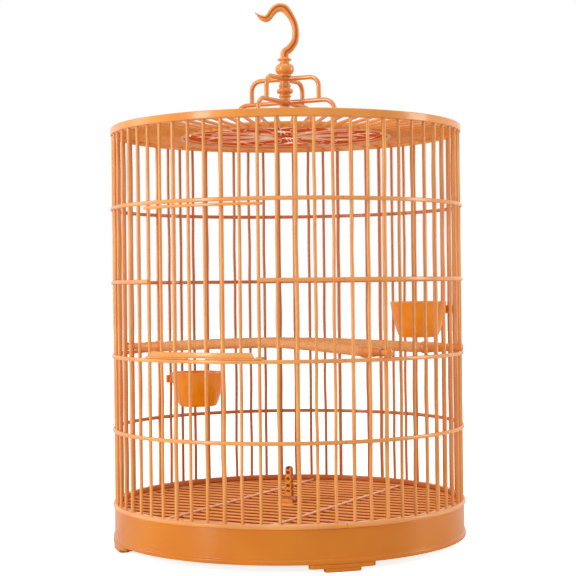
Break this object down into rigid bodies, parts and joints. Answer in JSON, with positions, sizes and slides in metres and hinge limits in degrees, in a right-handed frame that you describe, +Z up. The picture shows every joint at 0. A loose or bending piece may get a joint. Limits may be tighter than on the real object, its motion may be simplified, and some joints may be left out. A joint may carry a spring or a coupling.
{
  "type": "hanging bird cage",
  "caption": "Round barred bird cage with a swing-out door, sliding seed cups, a forked perch, a footed dropping pan and a swivel hook to hang it by.",
  "frame": {"origin": "on the ground, midway between the four feet", "axes": "+Z up along the cage's axis through the swivel; the door faces -Y"},
  "size_m": [0.3396, 0.3371, 0.516],
  "materials": {
    "moulded_plastic": "semi-gloss moulded plastic",
    "floor_plastic": "satin moulded plastic",
    "cup_plastic": "semi-gloss moulded plastic",
    "sanded_plastic": "fine sanded grip",
    "amber_plastic": "semi-gloss moulded plastic"
  },
  "bodies": {
    "cage": {"base_pan": "moulded_plastic", "floor_grille": "floor_plastic", "foot_front_right": "moulded_plastic", "foot_right_back": "moulded_plastic", "foot_back_left": "moulded_plastic", "foot_left_front": "moulded_plastic", "wall_panel_front": "moulded_plastic", "wall_panel_right": "moulded_plastic", "wall_panel_back": "moulded_plastic", "wall_panel_left": "moulded_plastic", "roof_rim": "moulded_plastic", "roof_grille": "moulded_plastic", "roof_rosette": "moulded_plastic", "hanger_leg_front": "moulded_plastic", "hanger_leg_right": "moulded_plastic", "hanger_leg_back": "moulded_plastic", "hanger_leg_left": "moulded_plastic", "hanger_spindle": "moulded_plastic", "perch_branch": "sanded_plastic", "perch_holder_left": "moulded_plastic", "perch_holder_right": "moulded_plastic", "perch_holder_front": "moulded_plastic", "greens_holder": "amber_plastic"},
    "door": {"door": "moulded_plastic"},
    "hook": {"hook": "moulded_plastic", "hook_nut": "moulded_plastic"},
    "cup_left": {"cup_left": "cup_plastic"},
    "cup_right": {"cup_right": "cup_plastic"}
  },
  "joints": [
    {"name": "door_hinge", "type": "hinge", "parent": "cage", "child": "door", "pos_m": [-0.05559, -0.15535, 0.25], "axis": [0, 0, -1], "range_deg": [0, 110]},
    {"name": "hook_swivel", "type": "hinge", "parent": "cage", "child": "hook", "pos_m": [0, 0, 0.4452], "axis": [0, 0, 1], "continuous": true},
    {"name": "cup_left_slide", "type": "slide", "parent": "cage", "child": "cup_left", "axis": [0, 0, 1], "range_m": [-0.0325, 0.0242]},
    {"name": "cup_right_slide", "type": "slide", "parent": "cage", "child": "cup_right", "axis": [0, 0, 1], "range_m": [-0.0335, 0.0232]}
  ]
}
